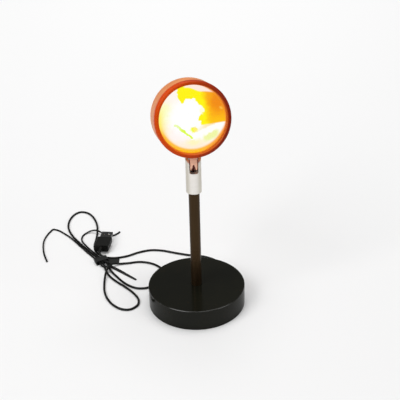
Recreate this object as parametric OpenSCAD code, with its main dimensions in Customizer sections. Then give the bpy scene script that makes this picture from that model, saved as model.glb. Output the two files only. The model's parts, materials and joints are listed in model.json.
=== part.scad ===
// Sunset projection lamp: a weighted round base, a slim pole, a slotted hinge
// barrel and a drum-shaped head that throws a disc of coloured light.
// All sizes are in millimetres. The origin is the middle of the base where it
// stands, +Z is up, and the lamp faces -Y, turned a little towards +X.

/* [Base] */
// Diameter of the base
base_d = 92; // [70:1:130]
// Height of the base, foot pad included
base_h = 20.5; // [18:0.5:26]
// Wall of the base cover's side
cover_wall = 1.6; // [1.2:0.1:2.4]
// Thickness of the base cover's top
cover_top = 2; // [1.5:0.1:3]
// Rounding of the base cover's upper edge
cover_round = 1; // [0.5:0.1:1.5]
// Thickness of the foam foot pad
pad_t = 1.5; // [1:0.1:2.5]
// Thickness of the steel bottom plate
plate_t = 1.5; // [1:0.1:2]
// Thickness of the cast weight
weight_t = 9; // [6:0.5:9]
// Number of screws that hold the bottom plate
base_screw_n = 3; // [3:1:5]

/* [Pole] */
// Outer diameter of the pole
pole_d = 10; // [9:0.5:11]
// Bore of the pole
pole_bore_d = 7; // [5:0.5:7]
// Height of the pole's top end above the floor
pole_top_z = 132; // [110:0.5:180]

/* [Hinge] */
// Outer diameter of the hinge barrel
barrel_d = 14; // [13.5:0.5:18]
// Length of pole that the barrel covers
barrel_cover = 12.5; // [11:0.5:20]
// Height of the tilt pivot above the pole's top end
pivot_rise = 14; // [14:0.5:20]
// Depth of the barrel's slot below the pivot
slot_below = 5.5; // [5.5:0.5:8]
// Width of the barrel's slot
slot_w = 8; // [7.4:0.1:8.6]
// Diameter of the pivot screw
pivot_d = 3; // [2.5:0.1:3.2]
// Turn of the hinge barrel about the pole
hinge_yaw = 5; // [-170:1:170]
// Turn of the head on its bracket
head_turn = 6; // [-10:1:10]
// Upward tilt of the head
head_pitch = 13.5; // [-90:1:90]

/* [Head] */
// Outer diameter of the front ring
head_d = 67.5; // [60:0.5:80]
// Depth of the head from the front ring's face to the back
head_depth = 28; // [26:0.5:34]
// Distance from the pivot to the front ring's face
face_forward = 12; // [12:0.1:12.6]
// Gap between the hinge barrel's round top and the housing
head_gap = 1.5; // [1.2:0.1:4]
// Wall of the rear housing
housing_wall = 1.3; // [1:0.1:2]
// Width of the front ring's face
ring_face_w = 3.8; // [3.2:0.1:5]
// Thickness of the front ring's lip
ring_lip_t = 3.5; // [3:0.1:4]
// Height of the lens's dome
lens_dome_h = 3.2; // [1.5:0.1:4]
// Number of cooling slots in the back
vent_n = 8; // [6:1:10]

/* [Cord and plug] */
// Diameter of the cord
cord_d = 2.2; // [1.8:0.1:2.3]
// Direction in which the cord leaves the base
exit_azimuth = 60; // [60:1:60]
// Height of the cord's exit
exit_z = 6.5; // [6.5:0.1:7.5]
// Diameter of the wires in the hinge
wire_d = 1.4; // [1.2:0.1:1.4]
// Diameter of the coated tie wire
tie_d = 1.8; // [1.4:0.1:1.8]
// Width of the plug's grip
grip_w = 16; // [13.5:0.1:16.5]
// Height of the plug's grip
grip_h = 7.5; // [7:0.1:8]
// Length of the plug's grip
grip_l = 18; // [12:0.5:20]

/* [Hidden] */
$fn = 96;
eps = 0.01;

// Clearances that the pieces share
fit_gap = 0.05;   // a shaft in its bore, each side
seat_gap = 0.1;   // a piece on its seat
loose_gap = 0.3;  // a piece that lies beside another

// Base
base_r = base_d / 2;
cover_in_r = base_r - cover_wall;
cover_bottom_z = 0.3;
cover_in_z = base_h - cover_top;
pad_r = cover_in_r - 0.6;
plate_r = cover_in_r - 0.6;
plate_z = pad_t;
weight_z = pad_t + plate_t;
weight_top_z = weight_z + weight_t;
weight_r = cover_in_r - 2.4;
boss_r = 3.5;
boss_shoulder_r = 5;
boss_at_r = base_r - 13;
boss_gap = 0.4;
base_screw_r = 1.3;
base_screw_head_r = 2.6;
base_screw_l = 7;

// Pole
pole_r = pole_d / 2;
pole_bore_r = pole_bore_d / 2;
stub_r = pole_r - 0.6;
washer_t = 1;
washer_r = 9;
nut_t = 3.8;
nut_flats = 14;
nut_r = nut_flats / 2 / cos(30);
weight_hole_r = nut_r + 0.6;
stub_z = cover_in_z - washer_t - nut_t - 3;
groove_z = pole_top_z - 8.5;
groove_w = 2.6;
groove_r = pole_r - 0.4;

// Hinge
barrel_r = barrel_d / 2;
barrel_z = pole_top_z - barrel_cover;
barrel_chamfer = 0.8;
pivot_z = pole_top_z + pivot_rise;
slot_z = pivot_z - slot_below;
slot_round = 1.6;
wire_way_r = 2.5;
pivot_r = pivot_d / 2;
pivot_hole_r = pivot_r + fit_gap;
screw_head_r = pivot_r + 1;
screw_head_t = 1.2;
screw_head_x = barrel_r - 1.65;
pivot_washer_t = 0.5;
bracket_w = slot_w - 2 * (pivot_washer_t + 2 * fit_gap);
bracket_r = 4.5;
sleeve_r = pivot_r + 0.5;
grub_r = 1.5;

// Head, measured along its own axis from the pivot, forward positive
ring_r = head_d / 2;
housing_r = ring_r - 0.2;
housing_in_r = housing_r - housing_wall;
head_up = barrel_r + head_gap + housing_r;
back_w = face_forward - head_depth;
back_t = 1.8;
back_round = 1.2;
lip_w = face_forward - ring_lip_t;
opening_r = ring_r - ring_face_w;
skirt_r = housing_in_r - seat_gap;
skirt_in_r = skirt_r - 0.8;
joint_w = lip_w - 2.4;
skirt_w = joint_w - 2;
ring_round = 2.6;
ring_bevel = 0.8;
lens_r = skirt_in_r - 0.2;
lens_dome_r = opening_r - 0.2;
lens_edge_t = 1.8;
lens_w = lip_w - seat_gap - lens_edge_t;
lens_sphere_r = (pow(lens_dome_r, 2) + pow(lens_dome_h, 2)) / (2 * lens_dome_h);
gasket_t = 0.7;
gasket_w = lens_w - fit_gap - gasket_t;
filter_t = 1;
filter_w = gasket_w - seat_gap - filter_t;
clip_t = 0.9;
clip_w = filter_w - seat_gap - clip_t;
clip_in_r = lens_r - 2.4;
sink_plate_w = back_w + back_t + 3;
sink_plate_t = 2;
sink_r = housing_in_r - 0.5;
sink_hub_r = 6;
fin_t = 1;
board_w = sink_plate_w + sink_plate_t;
board_t = 1.6;
board_r = housing_in_r - 10.5;
board_top_w = board_w + board_t;
chip_side = 14;
chip_t = 1;
phosphor_r = 5.5;
phosphor_t = 0.6;
cup_in_r = 10.2;
cup_wall = 1;
cup_out_r = clip_in_r;
vent_in_r = 13;
vent_w = 2.6;
back_screw_n = 3;
back_screw_at_r = housing_in_r - 4.5;
back_screw_r = 1.1;
back_screw_head_r = 2.2;
back_screw_head_t = 0.9;
vent_out_r = back_screw_at_r - 5;
board_screw_at_r = 17;
screw_access_r = 2.3;

// The wire goes round a sleeve on the pivot screw, in a groove of the bracket
wire_r = wire_d / 2;
wrap_r = sleeve_r + fit_gap + wire_r;
wire_groove_r = wrap_r + wire_r + loose_gap;
wire_groove = wire_r + loose_gap;

// Cord
cord_r = cord_d / 2;
relief_r = base_r + 8;
relief_tip_r = 1.6;
exit_dir = [cos(exit_azimuth), sin(exit_azimuth), 0];
function from_exit(r) = r * exit_dir + [0, 0, exit_z];

// The plug lies flat on the cord's loops and points away from the lamp's front
plug_x = -102;
plug_y = 82.8;
plug_z = 6.4;
plug_lean = 8;
plug_relief_l = 6;
plug_relief_r = 2.5;
grip_y = plug_y + plug_relief_l;
shell_w = 12;
shell_h = 4.5;
shell_t = 0.3;
shell_l = 13;
shell_y = grip_y + grip_l;
tongue_w = 11;
tongue_h = 1.9;

// Routes of the cord and of the tie wire, as they lie: x, y, height.
// Each stretch starts at the last point of the one before it.
LEAD = [
    from_exit(relief_r), from_exit(relief_r + 4), [30, 53.6, 5.2], [30, 57.1, 3.2],
    [27.8, 60.2, 1.6], [23.8, 64.4, 1.2], [17.6, 70.6, 1.2], [11.8, 74.4, 1.2], [4.8, 77.3, 1.2],
    [-8.1, 80, 1.2], [-22.1, 84.7, 1.2], [-36, 89.9, 1.2], [-49, 91.3, 1.2],
    [-61, 87.6, 1.2], [-72, 81.3, 1.2], [-82, 78.1, 1.2], [-89.9, 77.9, 1.2]
];
LOOP_BACK = [
    [-95.5, 79.3, 1.2], [-100.9, 83.1, 1.2], [-105.4, 88.3, 1.2], [-108.8, 96, 1.2],
    [-110, 105.5, 1.2], [-109.5, 116.9, 1.2], [-109.6, 130.1, 1.2], [-111, 143.4, 1.2],
    [-114.4, 156.6, 1.2], [-119.8, 168.4, 1.2], [-126.7, 175.9, 1.2], [-134.3, 177.5, 1.2],
    [-140.4, 171.5, 1.2], [-144, 159.4, 1.2], [-143.8, 145.2, 1.2], [-139.9, 132, 1.2],
    [-134.2, 120.6, 1.2], [-126.9, 109.3, 1.2], [-119.6, 98.9, 1.2], [-112.7, 89.3, 1.2],
    [-106.1, 80.6, 1.8], [-100.7, 71.8, 2.5], [-96.4, 63.1, 3.5]
];
LOOP_FRONT = [
    [-93.7, 55.5, 2], [-90.7, 48, 1.2], [-85.6, 39.8, 1.2], [-78.7, 31.7, 1.2],
    [-70.2, 23, 1.2], [-62.2, 13, 1.2], [-56.8, 2.4, 1.2], [-57.3, -7.1, 1.2],
    [-64.3, -13.4, 1.2], [-73.3, -12, 1.2], [-81.8, -4.3, 1.2], [-87.8, 6.3, 1.2],
    [-91.2, 17.8, 1.2], [-92.5, 29.3, 1.2], [-92.7, 38.8, 2.6], [-92.1, 47.5, 4.2],
    [-90.4, 54.1, 5], [-88, 59.9, 4.8], [-84.5, 63.9, 3]
];
RETURN = [
    [-79, 65.8, 1.6], [-70, 67.3, 1.2], [-60, 69, 1.2], [-50.1, 67, 1.2],
    [-41.6, 61.8, 1.2], [-35.6, 54.2, 1.2], [-33.6, 45.1, 1.2], [-36.2, 35.5, 1.2],
    [-41.7, 26.9, 1.2], [-49.7, 21.7, 1.2], [-59.2, 21.5, 1.2], [-67.7, 26.4, 1.2],
    [-75, 34.1, 1.2], [-81.1, 42.7, 1.2], [-86.4, 50.7, 1.3], [-89.9, 57, 2.2],
    [-92.4, 62.7, 3.8], [-95.1, 71.8, 2.8], [-96.7, 75, 3], [-98.7, 76.9, 3.5],
    [-100.6, 78.5, 4.8], [-101.5, 80.2, 5.7], [plug_x, plug_y, plug_z]
];
CORD = concat(LEAD, LOOP_BACK, LOOP_FRONT, RETURN);
LEAD_END = len(LEAD) - 1;
BACK_END = LEAD_END + len(LOOP_BACK);
FRONT_END = BACK_END + len(LOOP_FRONT);
RETURN_END = len(CORD) - 1;
TIE = [
    [-84.7, 131.1, 1], [-88.2, 126.4, 1], [-92.7, 123.2, 1], [-97.7, 123, 1],
    [-101.6, 125.3, 1.6], [-105.6, 128, 3.2], [-110.2, 130.5, 4], [-115.5, 132, 3],
    [-120.3, 130.7, 1.6], [-124, 126.6, 1], [-125.6, 120.7, 1], [-124.4, 113.1, 1],
    [-120.1, 105.1, 1], [-115.1, 97.3, 1], [-109.8, 90.1, 1], [-104.6, 82.9, 1],
    [-100.5, 76.8, 1.8], [-97.9, 71.3, 2.8], [-96.1, 67.6, 4.2], [-95.2, 65.4, 5.7],
    [-93.2, 63.4, 6.4], [-91.2, 62.1, 6], [-89.4, 61.5, 3.6], [-90.5, 61.1, 1], [-94.5, 61.7, 1],
    [-97.6, 62.3, 1.3], [-99.2, 64, 2.6], [-101, 67.3, 2.9], [-103.6, 71.3, 2.6],
    [-106.9, 76.8, 1.6], [-111.2, 83.3, 1], [-116.8, 90.8, 1], [-122.2, 98.6, 1],
    [-127.6, 106.2, 1], [-133, 114.1, 1], [-138.9, 122, 1], [-145.6, 129.5, 1],
    [-152.3, 136.2, 1], [-158.6, 139.8, 1], [-160.6, 139.4, 1], [-162.6, 134.8, 1],
    [-165.3, 126.3, 1], [-166.6, 115.8, 1], [-165.5, 103.5, 1], [-162.3, 89.2, 1], [-156.8, 74.1, 1]
];

// The strap round the bundle
strap_t = 0.9;
strap_w = 8;
strap_in_w = 12;
strap_in_h = 3.6;
strap_turn = 25;
strap_pos = [-99.3, 71.5, strap_t + strap_in_h / 2];
strap_flat_t = 1.2;
tab_x = [-93.4, -81];
tab_y = [67, 76.3];
tab_slot_x = tab_x[1] - 3.4;
tab_slot = [1.4, 6.4];
STRAP_TAIL = [
    [tab_x[0], tab_y[0]], [-90.6, tab_y[0]], [-86, 62.3], [-78.1, 55.3], [-68.1, 45.4],
    [-60.5, 37.7], [-61.8, 36.5], [-69.9, 43.3], [-80.3, 52.8], [-88.2, 59.5], [-92.6, 64.2]
];

// ---------- Helpers ----------

// A point between p1 and p2 on the smooth curve through p0, p1, p2 and p3
function curve_point(p0, p1, p2, p3, t) =
    0.5 * (2 * p1 + (p2 - p0) * t + (2 * p0 - 5 * p1 + 4 * p2 - p3) * t * t
    + (3 * p1 - 3 * p2 + p3 - p0) * t * t * t);
function route_at(route, i) =
    i < 0 ? 2 * route[0] - route[1]
    : i >= len(route) ? 2 * route[len(route) - 1] - route[len(route) - 2]
    : route[i];
function curve_at(route, i, t) =
    curve_point(route_at(route, i - 1), route_at(route, i),
        route_at(route, i + 1), route_at(route, i + 2), t);
// The curve from route point a to route point b, with n steps a piece
function curve(route, a, b, n) = concat(
    [for (i = [a : b - 1], k = [0 : n - 1]) curve_at(route, i, k / n)],
    [curve_at(route, b, 0)]);
function unit(v) = v / norm(v);
// Direction of the curve at route point i + t, from points just before and after
function heading(route, i, t) =
    unit(curve_at(route, t > 0 ? i : i - 1, t > 0 ? t + 0.02 : 1.02)
    - curve_at(route, t > 0 ? i : i - 1, t > 0 ? t - 0.02 : 0.98));
function headings(route, a, b, n) = concat(
    [for (i = [a : b - 1], k = [0 : n - 1]) heading(route, i, k / n)],
    [heading(route, b, 0)]);
function ring_points(c, dir, r, sides, ref) =
    let (u = unit(cross(dir, ref)), v = cross(u, dir))
    [for (k = [0 : sides - 1]) c + r * (cos(360 * k / sides) * u + sin(360 * k / sides) * v)];

// A tube of radius r along the route, from point a to point b
module tube(route, a, b, n, r, sides, ref = [0, 0, 1]) {
    c = curve(route, a, b, n);
    d = headings(route, a, b, n);
    last = len(c) - 1;
    points = [for (i = [0 : last]) each ring_points(c[i], d[i], r, sides, ref)];
    walls = [for (i = [0 : last - 1], k = [0 : sides - 1])
        let (p = i * sides + k, q = i * sides + (k + 1) % sides)
        each [[p, q, q + sides], [p, q + sides, p + sides]]];
    caps = [for (k = [1 : sides - 2])
        each [[0, k + 1, k], [last * sides, last * sides + k, last * sides + k + 1]]];
    polyhedron(points = points, faces = concat(walls, caps), convexity = 10);
}

// Least distance between stretches of a curve more than skip steps apart
function self_gap(c, skip, d) = min([
    for (i = [0 : len(c) - 1 - skip], k = [i + skip : len(c) - 1]) norm(c[i] - c[k])]) - d;

module on_hinge() {
    translate([0, 0, pivot_z]) rotate([0, 0, hinge_yaw]) children();
}
// The bracket's frame: origin on the pivot, z up through the head's middle
module on_bracket() {
    on_hinge() rotate([-head_pitch, 0, 0]) children();
}
// The head's frame: the bracket's, turned about the stud
module on_head() {
    on_bracket() rotate([0, 0, head_turn]) children();
}
// The head's axis: origin level with the pivot, z forward
module on_axis() {
    on_head() translate([0, 0, head_up]) rotate([90, 0, 0]) children();
}
module along_x(x0, x1, r) {
    translate([x0, 0, 0]) rotate([0, 90, 0]) cylinder(h = x1 - x0, r = r);
}
module ring(r_out, r_in, h) {
    difference() {
        cylinder(h = h, r = r_out);
        translate([0, 0, -eps]) cylinder(h = h + 2 * eps, r = r_in);
    }
}
// A flat shape with round corners, without hull
module round_box_2d(w, h, r) {
    square([w - 2 * r, h], center = true);
    square([w, h - 2 * r], center = true);
    for (x = [-1, 1], y = [-1, 1])
        translate([x * (w / 2 - r), y * (h / 2 - r)]) circle(r = r);
}
module slot_2d(l, w) {
    square([l - w, w], center = true);
    for (x = [-1, 1]) translate([x * (l - w) / 2, 0]) circle(d = w);
}
// Half outline of a disc with a rounded top edge
module disc_outline(r, h, edge) {
    square([r - edge, h]);
    square([r, h - edge]);
    translate([r - edge, h - edge]) circle(r = edge);
}
module at_bosses() {
    for (k = [0 : base_screw_n - 1])
        rotate([0, 0, k * 360 / base_screw_n]) translate([boss_at_r, 0, 0]) children();
}

// ---------- Base ----------

module foot_pad() {
    color([0.10, 0.10, 0.10]) cylinder(h = pad_t, r = pad_r);
}
module base_plate() {
    color([0.55, 0.56, 0.58]) difference() {
        translate([0, 0, plate_z]) cylinder(h = plate_t, r = plate_r);
        at_bosses() translate([0, 0, plate_z - eps])
            cylinder(h = plate_t + 2 * eps, r1 = base_screw_head_r + seat_gap, r2 = base_screw_r + seat_gap);
    }
}
module base_weight() {
    channel_w = cord_d + 1.4;
    color([0.30, 0.30, 0.31]) difference() {
        translate([0, 0, weight_z]) cylinder(h = weight_t, r = weight_r);
        translate([0, 0, weight_z - eps]) cylinder(h = weight_t + 2 * eps, r = weight_hole_r);
        at_bosses() translate([0, 0, weight_z - eps])
            cylinder(h = weight_t + 2 * eps, r = boss_r + boss_gap);
        rotate([0, 0, exit_azimuth])
            translate([0, -channel_w / 2, exit_z - channel_w / 2])
                cube([base_r, channel_w, weight_top_z]);
    }
}
module base_cover() {
    color([0.09, 0.09, 0.085]) difference() {
        union() {
            difference() {
                translate([0, 0, cover_bottom_z])
                    rotate_extrude() intersection() {
                        disc_outline(base_r, base_h - cover_bottom_z, cover_round);
                        square([base_r, base_h]);
                    }
                translate([0, 0, cover_bottom_z - eps])
                    cylinder(h = cover_in_z - cover_bottom_z + eps, r = cover_in_r);
            }
            at_bosses() {
                translate([0, 0, weight_z]) cylinder(h = cover_in_z - weight_z + 0.5, r = boss_r);
                translate([0, 0, weight_top_z + seat_gap])
                    cylinder(h = cover_in_z - weight_top_z - seat_gap + 0.5, r = boss_shoulder_r);
            }
        }
        translate([0, 0, cover_in_z - eps]) cylinder(h = cover_top + 2 * eps, r = stub_r + fit_gap);
        at_bosses() translate([0, 0, weight_z - eps])
            cylinder(h = base_screw_l + 0.5, r = base_screw_r + fit_gap);
        rotate([0, 0, exit_azimuth]) translate([base_r - 5, 0, exit_z]) along_x(0, 10, relief_neck_r + seat_gap);
    }
}
module base_screws() {
    color([0.62, 0.62, 0.63]) at_bosses() {
        difference() {
            translate([0, 0, plate_z]) cylinder(h = plate_t, r1 = base_screw_head_r, r2 = base_screw_r);
            translate([0, 0, plate_z]) cube([4, 0.7, 1], center = true);
        }
        translate([0, 0, plate_z + plate_t - eps]) cylinder(h = base_screw_l - 0.5, r = base_screw_r);
    }
}

// ---------- Pole ----------

module pole_tube() {
    color([0.17, 0.12, 0.09]) difference() {
        union() {
            translate([0, 0, stub_z]) cylinder(h = base_h - stub_z + eps, r = stub_r);
            translate([0, 0, base_h]) cylinder(h = pole_top_z - base_h, r = pole_r);
        }
        translate([0, 0, stub_z - eps]) cylinder(h = pole_top_z, r = pole_bore_r);
        translate([0, 0, groove_z - groove_w / 2]) ring(pole_r + 1, groove_r, groove_w);
    }
}
module pole_washer() {
    color([0.60, 0.60, 0.60]) translate([0, 0, cover_in_z - washer_t])
        ring(washer_r, stub_r + fit_gap, washer_t);
}
module pole_nut() {
    color([0.70, 0.60, 0.35]) translate([0, 0, cover_in_z - washer_t - nut_t]) difference() {
        cylinder(h = nut_t, r = nut_r, $fn = 6);
        translate([0, 0, -eps]) cylinder(h = nut_t + 2 * eps, r = stub_r + fit_gap);
    }
}

// ---------- Cord exit ----------

relief_flange_r = 3.3;
relief_flange_t = 1.4;
relief_neck_r = 2.7;
relief_collar_r = 3.5;
relief_body_r = 2.5;
relief_in = cover_in_r - 0.4;
relief_out = base_r + 0.3;
relief_rib_n = 4;

module cord_relief() {
    taper_l = relief_r - relief_out - 1.2;
    rib_l = taper_l / (2 * relief_rib_n + 1);
    color([0.06, 0.06, 0.06]) rotate([0, 0, exit_azimuth]) translate([0, 0, exit_z]) {
        along_x(relief_in - relief_flange_t, relief_in, relief_flange_r);
        along_x(relief_in - eps, relief_out + eps, relief_neck_r);
        along_x(relief_out, relief_out + 1.2, relief_collar_r);
        translate([relief_out + 1.2 - eps, 0, 0]) rotate([0, 90, 0])
            cylinder(h = taper_l + eps, r1 = relief_body_r - 0.35, r2 = relief_tip_r - 0.2);
        for (k = [0 : relief_rib_n])
            let (s = k / relief_rib_n)
            translate([relief_out + 1.2 + 2 * k * rib_l, 0, 0])
                along_x(0, rib_l, relief_body_r * (1 - s) + relief_tip_r * s);
    }
}
// The cord's inner end: in through the relief, round a bend and up the pole
lead_bend_r = 6;
INNER_LEAD = concat(
    [from_exit(relief_in - relief_flange_t), from_exit(lead_bend_r + 8)],
    [for (a = [0 : 15 : 90]) from_exit(lead_bend_r * (1 - sin(a))) + [0, 0, lead_bend_r * (1 - cos(a))]],
    [[0, 0, exit_z + lead_bend_r + 8], [0, 0, pole_top_z]]);
module inner_lead() {
    color([0.06, 0.06, 0.06])
        tube(INNER_LEAD, 0, len(INNER_LEAD) - 1, 1, cord_r, 8, [-exit_dir.y, exit_dir.x, 0]);
}

// ---------- Hinge ----------

module hinge_barrel() {
    top = barrel_r;
    color([0.85, 0.84, 0.82]) on_hinge() difference() {
        intersection() {
            translate([0, 0, barrel_z - pivot_z]) union() {
                cylinder(h = barrel_chamfer + eps, r1 = barrel_r - barrel_chamfer, r2 = barrel_r);
                translate([0, 0, barrel_chamfer])
                    cylinder(h = pivot_z - barrel_z + top - barrel_chamfer, r = barrel_r);
            }
            union() {
                along_x(-barrel_r - 1, barrel_r + 1, top);
                translate([0, 0, -40]) cube([3 * barrel_r, 3 * barrel_r, 80], center = true);
            }
        }
        translate([0, 0, barrel_z - pivot_z - eps])
            cylinder(h = barrel_cover + seat_gap, r = pole_r + fit_gap);
        translate([0, 0, pole_top_z - pivot_z]) cylinder(h = pivot_rise - slot_below + 1, r = wire_way_r);
        rotate([90, 0, 0]) translate([0, 0, -barrel_r - 1]) linear_extrude(2 * barrel_r + 2) {
            translate([-slot_w / 2, slot_round - slot_below]) square([slot_w, 2 * slot_below]);
            translate([slot_round - slot_w / 2, -slot_below]) square([slot_w - 2 * slot_round, slot_below]);
            for (x = [-1, 1])
                translate([x * (slot_w / 2 - slot_round), slot_round - slot_below]) circle(r = slot_round);
        }
        along_x(-barrel_r - 1, barrel_r + 1, pivot_hole_r);
        along_x(screw_head_x, barrel_r + 1, screw_head_r + seat_gap);
        translate([0, 0, groove_z - pivot_z]) rotate([0, 0, 90]) along_x(0, barrel_r + 1, grub_r + fit_gap);
    }
}
module swivel_screw() {
    color([0.20, 0.20, 0.20]) on_hinge() translate([0, 0, groove_z - pivot_z]) rotate([0, 0, 90])
        difference() {
            union() {
                along_x(pole_r + 0.2, barrel_r - 0.4, grub_r);
                along_x(groove_r + seat_gap, pole_r + 0.3, groove_w / 2 - seat_gap);
            }
            translate([barrel_r - 0.4, 0, 0]) cube([1.2, 4, 0.5], center = true);
        }
}
module pivot_screw() {
    color([0.62, 0.62, 0.63]) on_hinge() difference() {
        union() {
            along_x(-barrel_r + 0.8, screw_head_x + 0.1, pivot_r);
            along_x(screw_head_x + 0.05, screw_head_x + 0.05 + screw_head_t, screw_head_r);
        }
        translate([screw_head_x + screw_head_t, 0, 0]) cube([1, 6, 0.6], center = true);
    }
}
module pivot_washers() {
    color([0.92, 0.92, 0.90]) on_hinge() for (side = [-1, 1])
        translate([side * (slot_w / 2 - fit_gap - pivot_washer_t / 2), 0, 0]) rotate([0, 90, 0])
            translate([0, 0, -pivot_washer_t / 2]) ring(bracket_r, pivot_hole_r, pivot_washer_t);
}
module pivot_sleeve() {
    half = wire_groove - seat_gap;
    color([0.80, 0.78, 0.70]) on_hinge() difference() {
        along_x(-half, half, sleeve_r);
        along_x(-half - 1, half + 1, pivot_hole_r);
    }
}
// The wire comes up the pole, bends to the slot's rear and goes over the sleeve
hinge_start_z = pole_top_z - pivot_z + loose_gap;
wrap_turn = 240;
wrap_steps = 12;
HINGE_WIRE = concat(
    [[0, 0, hinge_start_z], [0, 0, hinge_start_z + 3], [0, 0.4, -slot_below - 2.5],
     [0, 1.5, -slot_below + 0.6], [0, wrap_r, -wrap_r]],
    [for (k = [0 : wrap_steps]) let (a = wrap_turn * k / wrap_steps)
        [0, wrap_r * cos(a), wrap_r * sin(a)]]);
module hinge_wire() {
    color([0.45, 0.06, 0.04]) on_hinge()
        tube(HINGE_WIRE, 0, len(HINGE_WIRE) - 1, 1, wire_r, 8, [1, 0.01, 0]);
}

// ---------- Head ----------

neck_r = 4.4;
neck_low = barrel_r + loose_gap;
stud_r = 2;
stud_nut_flats = 6;
stud_nut_r = stud_nut_flats / 2 / cos(30);
stud_nut_t = 2;
stud_nut_z = head_up - sqrt(pow(housing_in_r, 2) - pow(stud_nut_r, 2)) + seat_gap;
front_notch = [0.5, 1.2];
front_notch_low = [2.4, -bracket_r - loose_gap];

// A tongue in the barrel's slot, a round neck above it and a hollow threaded stud
module head_bracket() {
    color([0.85, 0.42, 0.20]) difference() {
        on_bracket() {
            along_x(-bracket_w / 2, bracket_w / 2, bracket_r);
            translate([-bracket_w / 2, -bracket_r, 0])
                cube([bracket_w, 2 * bracket_r, neck_low + eps]);
            translate([0, 0, neck_low]) cylinder(h = head_up - housing_r - neck_low + 1, r = neck_r);
        }
        on_axis() cylinder(h = 40, r = housing_r + fit_gap, center = true);
        on_bracket() {
            along_x(-barrel_r, barrel_r, pivot_hole_r);
            along_x(-wire_groove, wire_groove, wire_groove_r);
            translate([-wire_groove, 0, -bracket_r - 1])
                cube([2 * wire_groove, bracket_r + 1, bracket_r + 1 + wire_groove_r]);
            rotate([90, 0, 0]) linear_extrude(bracket_r + 1) polygon([
                [-front_notch_low.x, front_notch_low.y], [front_notch_low.x, front_notch_low.y],
                [front_notch.x, front_notch.y], [-front_notch.x, front_notch.y]
            ]);
            cylinder(h = head_up, r = wire_groove);
        }
    }
    color([0.85, 0.42, 0.20]) on_bracket() translate([0, 0, neck_low + 0.5])
        ring(stud_r, wire_groove, stud_nut_z + stud_nut_t + 0.3 - neck_low - 0.5);
}
module bracket_nut() {
    color([0.62, 0.62, 0.63]) on_head() translate([0, 0, stud_nut_z]) difference() {
        cylinder(h = stud_nut_t, r = stud_nut_r, $fn = 6);
        translate([0, 0, -eps]) cylinder(h = stud_nut_t + 2 * eps, r = stud_r + fit_gap);
    }
}
wire_board_y = -board_top_w - wire_r - seat_gap;
HEAD_WIRE = [
    [0, 0, wire_groove_r], [0, 0, wire_groove_r + 3], [0, 0, stud_nut_z + stud_nut_t + 0.5],
    [0, wire_board_y / 2, head_up - board_r - 4],
    [0, wire_board_y, head_up - board_r],
    [0, wire_board_y, head_up - board_r + 2]
];
module head_wire() {
    color([0.45, 0.06, 0.04]) on_head()
        tube(HEAD_WIRE, 0, len(HEAD_WIRE) - 1, 2, wire_r, 8, [1, 0, 0]);
}
module at_back_screws() {
    for (k = [0 : back_screw_n - 1])
        rotate([0, 0, 30 + k * 360 / back_screw_n]) translate([back_screw_at_r, 0, 0]) children();
}
module at_vents() {
    for (k = [0 : vent_n - 1])
        rotate([0, 0, (k + 0.5) * 360 / vent_n]) translate([(vent_in_r + vent_out_r) / 2, 0, 0]) children();
}
module rear_housing() {
    depth = joint_w - seat_gap - back_w;
    color([0.92, 0.52, 0.27]) difference() {
        on_axis() difference() {
            translate([0, 0, back_w]) rotate_extrude() difference() {
                translate([0, depth]) mirror([0, 1]) intersection() {
                    disc_outline(housing_r, depth, back_round);
                    square([housing_r, depth]);
                }
                translate([-1, back_t]) square([housing_in_r + 1, depth]);
            }
            at_vents() translate([0, 0, back_w - 1]) linear_extrude(back_t + 2)
                slot_2d(vent_out_r - vent_in_r, vent_w);
            at_back_screws() translate([0, 0, back_w - eps]) {
                cylinder(h = 10, r = back_screw_r + fit_gap);
                cylinder(h = back_screw_head_t, r1 = back_screw_head_r + seat_gap,
                    r2 = back_screw_r + seat_gap);
            }
        }
        on_head() cylinder(h = head_up / 2, r = stud_r + fit_gap);
    }
}
module housing_screws() {
    color([0.25, 0.25, 0.25]) on_axis() at_back_screws() translate([0, 0, back_w]) difference() {
        union() {
            cylinder(h = back_screw_head_t, r1 = back_screw_head_r, r2 = back_screw_r);
            cylinder(h = back_t + 3, r = back_screw_r);
        }
        for (a = [0, 90]) rotate([0, 0, a]) cube([2.4, 0.5, 0.8], center = true);
    }
}
module heat_sink() {
    fin_w = back_w + back_t + seat_gap;
    color([0.75, 0.76, 0.78]) on_axis() difference() {
        union() {
            translate([0, 0, sink_plate_w]) cylinder(h = sink_plate_t, r = sink_r);
            translate([0, 0, fin_w]) cylinder(h = sink_plate_w - fin_w + eps, r = sink_hub_r);
            for (k = [0 : vent_n - 1]) rotate([0, 0, k * 360 / vent_n])
                translate([sink_hub_r - 1, -fin_t / 2, fin_w])
                    cube([sink_r - sink_hub_r - 1, fin_t, sink_plate_w - fin_w + eps]);
            at_back_screws() translate([0, 0, fin_w]) cylinder(h = sink_plate_w - fin_w + eps, r = 2.6);
        }
        at_back_screws() translate([0, 0, fin_w - 1]) cylinder(h = 10, r = back_screw_r + fit_gap);
        for (side = [-1, 1]) translate([side * board_screw_at_r, 0, fin_w - 1])
            cylinder(h = 10, r = 1 + fit_gap);
    }
}
module led_board() {
    color([0.93, 0.93, 0.90]) on_axis() difference() {
        translate([0, 0, board_w]) cylinder(h = board_t, r = board_r);
        for (side = [-1, 1]) translate([side * board_screw_at_r, 0, board_w - 1])
            cylinder(h = board_t + 2, r = 1 + fit_gap);
    }
}
module led_emitter() {
    color([1.0, 0.85, 0.25]) on_axis() {
        translate([-chip_side / 2, -chip_side / 2, board_top_w]) cube([chip_side, chip_side, chip_t]);
        translate([0, 0, board_top_w + chip_t - eps]) cylinder(h = phosphor_t, r = phosphor_r);
    }
}
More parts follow.
